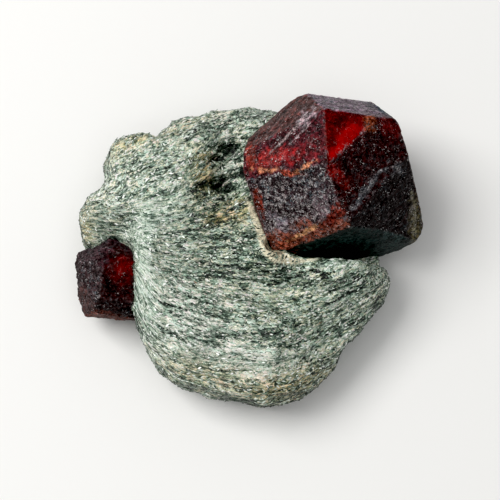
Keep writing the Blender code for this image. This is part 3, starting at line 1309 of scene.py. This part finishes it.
# ---- the crystals ------------------------------------------------------------------------------------
@dataclass(frozen=True)
class Face:
    """How one crystal face looks: its direction in degrees, its colour, in which some faces hold painted
    shade and one a painted sheen, and what covers it.
    """

    bearing: float
    tilt: float
    tone: Colour
    dust: float = 0.2
    specks: float = 0.3
    rough: float = 0.35
    stripes: float = 0.0

    def normal(self) -> Array:
        """Unit vector out of the face, in the crystal's own frame.

        Returns:
            The vector.
        """
        bearing, tilt = math.radians(self.bearing), math.radians(self.tilt)
        level = math.sin(tilt)
        return np.array([level * math.cos(bearing), level * math.sin(bearing), math.cos(tilt)])


@dataclass(frozen=True)
class Patch(Oval):
    """A stain, a clear place or a place of painted glow on a crystal, drawn as a soft oval with a ragged
    border.
    """

    tone: Colour | None = None
    lit: Colour | None = None
    dust: float | None = None
    face: str = ""
    ragged: float = 0.45

    def weight(self, points: Array, broken: Array) -> Array:
        """How strongly the patch covers each point, with its border broken up by a noise."""
        along, across = self.spans(points)
        return 1.0 - smoothstep(0.55, 1.25, np.sqrt(along**2 + across**2) + self.ragged * broken)


@dataclass
class GarnetCrystal:
    """One crystal: its CAD shape with worn edges, pits, growth lines and the tones of its faces."""

    node: Object
    name: str
    lean: Span
    faces: dict[str, Face]
    patches: tuple[Patch, ...]
    grain: float = 0.205
    eased: int = 0
    roughened: float = 0.14
    chipped: float = 0.32
    line_height: float = 0.05
    line_pitch: Span = (0.9, 3.0)
    line_bend: float = 1.5
    # Sizes of the coarse, medium and fine relief, each with the shift of its seed.
    relief: tuple[Span, ...] = ((2.4, 0.0), (0.9, 5.0), (0.45, 9.0))
    edge_width: float = 0.35
    chip_width: float = 0.9
    seed: float = 3.0
    blend: float = 0.08
    # How far the low south-east corner is drawn out to the south, and from where to where.
    south_reach: float = 0.0
    reach_low: Span = (13.0, 21.0)
    reach_east: Span = (4.0, 12.0)
    reach_south: Span = (1.5, 9.0)

    def directions(self) -> Array:
        """Unit vectors out of the faces, turned as the crystal lies in the schist."""
        turn = np.array(Euler((math.radians(self.lean[0]), math.radians(self.lean[1]), 0.0)).to_matrix())
        return np.stack([face.normal() for face in self.faces.values()]) @ turn.T

    def depths(self, points: Array) -> Array:
        """How deep each point lies under each face's plane, one row per point."""
        heights = points @ self.directions().T
        return heights.max(axis=0) - heights

    def face_shares(self, points: Array) -> Array:
        """How much of each face's look each point takes, one row per point.

        Args:
            points: One row each, in millimetres.

        Returns:
            One column for each face.
        """
        depths = self.depths(points)
        closeness = np.exp((depths.min(axis=1, keepdims=True) - depths) / self.blend)
        return closeness / closeness.sum(axis=1, keepdims=True)

    def mixed(self, shares: Array, name: str) -> Array:
        """One of the faces' values or colours at each point, by its field's name."""
        return shares @ np.array([getattr(face, name) for face in self.faces.values()])

    def edge_nearness(self, points: Array, reach: float) -> Array:
        """1 on the crystal's edges, falling to 0 further than reach from them."""
        depths = np.sort(self.depths(points), axis=1)
        return 1.0 - smoothstep(0.0, reach, depths[:, 1] - depths[:, 0])

    def drawn_out(self, placed: Array, points: Array) -> Array:
        """Draws the low south-east corner out to the south, as far as it lay before its relief.

        Args:
            placed: The points with their relief, which are moved.
            points: The points before it.

        Returns:
            The moved points.
        """
        low = 1.0 - smoothstep(*self.reach_low, points[:, 2])
        south = 1.0 - smoothstep(*self.reach_south, points[:, 1])
        corner = smoothstep(*self.reach_east, points[:, 0]) * south
        placed[:, 1] -= self.south_reach * corner * (0.3 + 0.7 * low)
        return placed

    def build(self) -> Object:
        """Builds the crystal.

        Returns:
            The finished object, with the attributes tone, glow and wear.
        """
        mesh = evenly_meshed(merged_copy(self.node), self.grain, self.eased)
        tree = surface_tree(self.node)
        points = points_of(mesh)
        normals = np.empty_like(points)
        for index, place in enumerate(points):
            found, normal, _, _ = tree.find_nearest(Vector(place * MM))
            if not self.eased:
                points[index] = np.array(found) / MM
            normals[index] = normal
        shares = self.face_shares(points)
        coarse, medium, fine = (
            NoiseField((size,) * 3, self.seed + shift).at(points) for size, shift in self.relief
        )
        stripes = self.mixed(shares, "stripes")
        rise = self.roughened * self.mixed(shares, "rough") * (1.2 * coarse + 0.8 * medium + 0.6 * fine)
        chips = self.edge_nearness(points, self.chip_width) * smoothstep(0.05, 0.45, coarse + 0.7 * medium)
        along, upward = self.line_pitch
        lines = np.sin(points[:, 0] * along + points[:, 2] * upward + self.line_bend * coarse)
        rise = rise - self.chipped * chips + self.line_height * stripes * lines
        set_points(mesh, self.drawn_out(points + normals * rise[:, None], points))
        edge = self.edge_nearness(points, self.edge_width) * smoothstep(-0.35, 0.2, medium)
        self.paint(mesh, points, shares, edge, medium, 1.0 + 0.35 * stripes * lines)
        mesh.shade_smooth()
        return in_scene(self.name, mesh)

    def paint(
        self, mesh: Mesh, points: Array, shares: Array, edge: Array, broken: Array, banding: Array
    ) -> None:
        """Stores the colours and masks that the finish reads.

        Args:
            mesh: The crystal's mesh.
            points: Its vertices, in millimetres.
            shares: Each vertex's share of each face.
            edge: How near each vertex is to a worn edge.
            broken: A noise that breaks the patches' borders up.
            banding: How much lighter or darker the growth lines make each vertex.
        """
        tone, rough, dust, specks = (self.mixed(shares, name) for name in ("tone", "rough", "dust", "specks"))
        # glow: painted light from inside the crystal, from the patches' lit colours
        glow = np.zeros_like(tone)
        names = list(self.faces)
        for patch in self.patches:
            weight = patch.weight(points, broken)[:, None]
            if patch.face:
                weight = weight * shares[:, names.index(patch.face), None]
            if patch.tone is not None:
                tone = tone + (np.array(patch.tone) - tone) * weight
            if patch.lit is not None:
                glow = glow + (np.array(patch.lit) - glow) * weight
            if patch.dust is not None:
                dust = dust + (patch.dust - dust) * weight[:, 0]
        tone = tone * (1.0 + 0.8 * edge[:, None]) * banding[:, None]
        ones = np.ones(len(points))
        wear = np.stack([np.maximum(dust, 0.7 * edge), specks, rough, ones], axis=1)
        store(mesh, "tone", np.column_stack([tone, ones]))
        store(mesh, "glow", np.column_stack([glow, ones]))
        store(mesh, "wear", np.clip(wear, 0.0, 1.0))


# Painted light in the face tones: south and shoulder_east are darkened as painted shade, and north's light
# purple-grey tone is a painted sheen under its real dust.
LARGE_FACES = {
    "crown_west": Face(156, 38, (0.052, 0.008, 0.012), dust=0.24, specks=0.7, rough=0.6),
    "window": Face(59, 22, (0.045, 0.001, 0.001), dust=0.0, specks=0.05, rough=0.1),
    "crown_south": Face(-137, 37, (0.026, 0.015, 0.018), dust=0.95, specks=1.0, rough=0.9),
    "crown_east": Face(-15, 34, (0.022, 0.004, 0.004), dust=0.2, specks=0.7, rough=0.5),
    "shoulder_east": Face(-30, 55, (0.009, 0.005, 0.005), dust=0.28, specks=0.75, rough=0.8),
    "north": Face(78, 78, (0.14, 0.10, 0.13), dust=0.75, specks=0.5, rough=0.6, stripes=1.0),
    "north_west": Face(127, 69, (0.085, 0.034, 0.031), dust=0.3, specks=0.6, rough=0.6, stripes=1.0),
    "shoulder_south": Face(-113, 45, (0.18, 0.062, 0.042), dust=0.5, specks=0.95, rough=0.9),
    "south": Face(-79, 75, (0.020, 0.034, 0.032), dust=0.1, specks=0.1, rough=0.7),
    "east": Face(19, 93, (0.03, 0.008, 0.008), dust=0.3, specks=0.3, rough=0.5),
    "west": Face(198, 88, (0.08, 0.03, 0.03), dust=0.5, specks=0.4, rough=0.6),
    "west_bevel": Face(182, 98, (0.08, 0.03, 0.03), dust=0.5, specks=0.4, rough=0.6),
    "north_keel": Face(90, 106, (0.05, 0.015, 0.02), dust=0.5, specks=0.4, rough=0.5),
    "north_east": Face(43, 90, (0.06, 0.015, 0.02), dust=0.5, specks=0.4, rough=0.5, stripes=0.5),
    "north_west_keel": Face(136, 113, (0.05, 0.015, 0.015), dust=0.4, specks=0.4, rough=0.5),
    "root": Face(0, 150, (0.02, 0.006, 0.006), dust=0.3, specks=0.3, rough=0.6),
}
SMALL_FACES = {
    "crown": Face(-5, 14, (0.018, 0.003, 0.003), dust=0.1, specks=0.35, rough=0.5),
    "crown_west": Face(176, 48, (0.038, 0.023, 0.025), dust=0.55, specks=1.0, rough=1.3),
    "west": Face(183, 84, (0.036, 0.023, 0.025), dust=0.5, specks=0.9, rough=1.3),
    "north_west": Face(127, 74, (0.05, 0.03, 0.035), dust=0.4, specks=0.3, rough=0.8),
    "north": Face(80, 60, (0.03, 0.012, 0.015), dust=0.3, specks=0.3, rough=0.6),
    "crown_north": Face(108, 38, (0.030, 0.010, 0.014), dust=0.2, specks=0.4, rough=0.6),
    "south": Face(-96, 84, (0.07, 0.02, 0.014), dust=0.3, specks=0.3, rough=0.7),
    "crown_south": Face(-84, 46, (0.015, 0.006, 0.006), dust=0.3, specks=0.5, rough=0.7),
    "south_west": Face(203, 77, (0.06, 0.03, 0.028), dust=0.4, specks=0.4, rough=0.9),
    "root": Face(175, 150, (0.03, 0.01, 0.01), dust=0.3, specks=0.3, rough=0.7),
}
TAN: Colour = (0.352, 0.151, 0.083)
# The lit colours paint the glow of light inside the crystal, brightest on the window.
LARGE_PATCHES = (
    Patch((15.4, 15.0), 5.0, 5.0, 0.0, lit=(0.05, 0.001, 0.001), face="window"),
    Patch((15.8, 14.6), 3.2, 1.9, 52.0, lit=(0.20, 0.003, 0.003), face="window", ragged=0.25),
    Patch((13.9, 11.8), 1.8, 1.3, 30.0, lit=(0.26, 0.002, 0.002), face="window", ragged=0.25),
    Patch((13.2, 17.6), 2.2, 2.2, 0.0, lit=(0.03, 0.0, 0.0), face="window"),
    Patch((18.9, 16.9), 1.1, 1.9, -5.0, tone=(0.12, 0.036, 0.018), lit=(0.02, 0.002, 0.0), dust=0.4),
    Patch((22.4, 16.9), 2.4, 1.9, -40.0, tone=(0.06, 0.004, 0.004), lit=(0.015, 0.0, 0.0), dust=0.1),
    Patch((3.2, 12.4), 3.6, 1.7, 10.0, (0.18, 0.020, 0.018), (0.07, 0.004, 0.005), face="crown_west"),
    Patch((0.5, 13.9), 0.9, 2.4, 10.0, tone=(0.18, 0.03, 0.02), lit=(0.05, 0.006, 0.004)),
    Patch((7.2, 12.2), 1.8, 1.4, 30.0, (0.14, 0.010, 0.012), (0.05, 0.002, 0.002), face="crown_west"),
    Patch((10.0, 12.6), 1.4, 2.2, 0.0, (0.11, 0.014, 0.018), (0.03, 0.001, 0.002), face="crown_west"),
    Patch((2.4, 10.8), 2.2, 0.4, -12.0, tone=TAN, dust=0.3, ragged=1.2),
    Patch((6.2, 9.6), 1.6, 0.45, -14.0, tone=(0.22, 0.045, 0.028), dust=0.3, ragged=1.1),
    Patch((9.0, 10.3), 2.2, 0.34, 24.0, tone=TAN, dust=0.2, ragged=1.2),
    Patch((13.6, 8.7), 1.8, 1.2, -40.0, tone=(0.09, 0.004, 0.003), lit=(0.04, 0.002, 0.001)),
    Patch((15.2, 7.6), 1.2, 1.0, 0.0, tone=(0.07, 0.005, 0.003), lit=(0.03, 0.002, 0.001)),
    Patch((1.7, 6.4), 2.6, 0.7, -72.0, tone=(0.14, 0.028, 0.018), dust=0.4),
    Patch((13.0, 3.4), 2.4, 1.3, 20.0, tone=(0.10, 0.018, 0.012), dust=0.2),
    Patch((27.6, 5.4), 1.4, 3.0, 10.0, tone=(0.07, 0.058, 0.026), dust=0.5),
    Patch((18.4, 7.0), 4.4, 0.6, 52.0, tone=(0.08, 0.08, 0.09), dust=1.0, ragged=1.1),
    Patch((23.6, 10.9), 1.3, 0.6, 30.0, tone=(0.05, 0.055, 0.065), dust=0.8, ragged=1.2),
    Patch((22.0, 20.6), 4.2, 1.5, -38.0, tone=(0.035, 0.042, 0.055), dust=0.6, ragged=0.8),
    Patch((9.0, 18.0), 2.0, 1.1, 60.0, tone=(0.22, 0.16, 0.18), dust=0.8, ragged=1.1),
    Patch((6.4, 16.0), 3.4, 0.25, 42.0, tone=(0.26, 0.20, 0.20), dust=0.5, ragged=1.2),
    Patch((7.8, 15.4), 3.4, 0.2, 42.0, tone=(0.24, 0.17, 0.18), dust=0.5, ragged=1.2),
    Patch((11.4, 4.6), 1.4, 2.2, -20.0, tone=(0.10, 0.07, 0.08), dust=0.8, ragged=1.0),
    Patch((5.2, 3.0), 2.6, 1.0, -40.0, tone=(0.16, 0.13, 0.15), dust=0.9, ragged=1.1),
    Patch((6.6, 0.4), 2.2, 0.8, 14.0, tone=(0.25, 0.075, 0.045), dust=0.3, ragged=0.8),
    # A painted highlight: a light tan line along the top of the orange band on shoulder_south.
    Patch((8.8, 1.5), 2.6, 0.35, 24.0, tone=(0.36, 0.19, 0.10), dust=0.2, ragged=1.0),
    Patch((27.2, 6.2), 0.5, 2.4, 10.0, tone=(0.16, 0.15, 0.10), dust=0.7, ragged=1.2),
)
# The lit colours paint the small crystal's glow.
SMALL_PATCHES = (
    Patch((-21.0, -3.2), 2.2, 3.4, 8.0, tone=(0.03, 0.001, 0.001), lit=(0.026, 0.0, 0.0), dust=0.0),
    Patch((-20.2, -3.0), 1.5, 1.7, 0.0, tone=(0.05, 0.001, 0.001), lit=(0.06, 0.0, 0.0), dust=0.0),
    Patch((-23.6, -10.8), 4.0, 0.8, -8.0, tone=(0.10, 0.03, 0.02), dust=0.3),
)


# ---- the studio --------------------------------------------------------------------------------------
class Lamp(NamedTuple):
    """A square soft light that faces the specimen."""

    name: str
    place: Colour
    size: float
    watts: float
    tint: Colour


@dataclass
class Studio:
    """A pale floor, soft lights and a camera that looks down on the specimen."""

    target: Colour = (0.31, 0.40, 12.0)
    distance: float = 231.0
    elevation: float = 80.0
    lens: float = 99.8
    sensor: float = 36.0
    nearest: float = 1.0
    floor_half: float = 900.0
    floor_colour: Colour = (0.86, 0.86, 0.85)
    floor_roughness: float = 0.9
    floor_specular: float = 0.2
    lamps: tuple[Lamp, ...] = (
        Lamp("key", (-270.0, 110.0, 500.0), 280.0, 1.9, (1.0, 0.99, 0.97)),
        Lamp("overhead", (0.0, -60.0, 700.0), 600.0, 1.15, (1.0, 1.0, 1.0)),
    )
    room_light: float = 0.27
    black_point: float = 0.012

    def floor(self) -> None:
        """Lays the floor that the specimen rests on."""
        sheet = bmesh.new()
        bmesh.ops.create_grid(sheet, x_segments=2, y_segments=2, size=self.floor_half * MM)
        mesh = mesh_from(sheet, "floor")
        material, _, shader = new_material("floor_paper")
        shader.inputs["Base Color"].default_value = (*self.floor_colour, 1.0)
        shader.inputs["Roughness"].default_value = self.floor_roughness
        shader.inputs["Specular IOR Level"].default_value = self.floor_specular
        mesh.materials.append(material)
        in_scene("floor", mesh)

    def camera(self) -> None:
        """Sets the camera."""
        raised = math.radians(self.elevation)
        back = Vector((0.0, -math.cos(raised), math.sin(raised)))
        data = bpy.data.cameras.new("camera")
        data.lens = self.lens
        data.sensor_width = self.sensor
        data.clip_start = self.nearest * MM
        made = in_scene("camera", data)
        made.location = (Vector(self.target) + back * self.distance) * MM
        made.rotation_euler = (-back).to_track_quat("-Z", "Y").to_euler()
        bpy.context.scene.camera = made

    def light(self, lamp: Lamp) -> None:
        """Hangs one lamp.

        Args:
            lamp: The lamp's place, size, strength and tint.
        """
        data = bpy.data.lights.new(lamp.name, "AREA")
        data.shape = "SQUARE"
        data.size = lamp.size * MM
        data.energy = lamp.watts
        data.color = lamp.tint
        made = in_scene(lamp.name, data)
        made.location = Vector(lamp.place) * MM
        towards = Vector(self.target) - Vector(lamp.place)
        made.rotation_euler = towards.to_track_quat("-Z", "Y").to_euler()

    def build(self) -> None:
        """Builds the studio."""
        self.floor()
        self.camera()
        for lamp in self.lamps:
            self.light(lamp)
        world = bpy.data.worlds.new("room")
        world.use_nodes = True
        background = world.node_tree.nodes["Background"]
        background.inputs["Color"].default_value = (1.0, 1.0, 1.0, 1.0)
        background.inputs["Strength"].default_value = self.room_light
        bpy.context.scene.world = world
        view = bpy.context.scene.view_settings
        view.view_transform = "Standard"
        view.look = "Medium High Contrast"
        view.use_curve_mapping = True
        view.curve_mapping.black_level = (self.black_point,) * 3


def dress(made: Object, finish: Material, nodes: list[str]) -> None:
    """Gives a piece its finish, attaches it to the root body, and hides the CAD nodes that it stands for.

    Args:
        made: The piece.
        finish: Its material.
        nodes: Names of the CAD nodes that it stands for.
    """
    made.data.materials.clear()
    made.data.materials.append(finish)
    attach(made, "root")
    if nodes:
        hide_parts(*nodes)
    low, high = made.bound_box[0], made.bound_box[6]
    size = [round((b - a) / MM, 1) for a, b in zip(low, high, strict=True)]
    log.info("%s: %d faces, %s mm", made.name, len(made.data.polygons), size)


def main() -> None:
    """Builds the dressed specimen and its studio."""
    logging.basicConfig(level=logging.INFO, format="%(message)s")
    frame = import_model()
    nodes = frame["nodes"]
    effects = Effects()
    garnet = GarnetFinish().material(effects)
    large, small = nodes["large_garnet"], nodes["small_garnet"]
    for crystal in (
        GarnetCrystal(large, "garnet_large", (13.0, -3.3), LARGE_FACES, LARGE_PATCHES, south_reach=1.5),
        GarnetCrystal(small, "garnet_small", (8.7, 5.9), SMALL_FACES, SMALL_PATCHES, eased=6, roughened=0.28),
    ):
        dress(crystal.build(), garnet, [crystal.node.name])
    matrix = SchistMatrix(nodes["schist_matrix"], [large, small])
    schist = matrix.build()
    dress(schist, SchistFinish().material(effects), ["schist_matrix"])
    flakes = MicaFlakes(schist, matrix).build()
    dress(flakes, MicaFinish().material(), [])
    Studio().build()


if __name__ == "__main__":
    main()
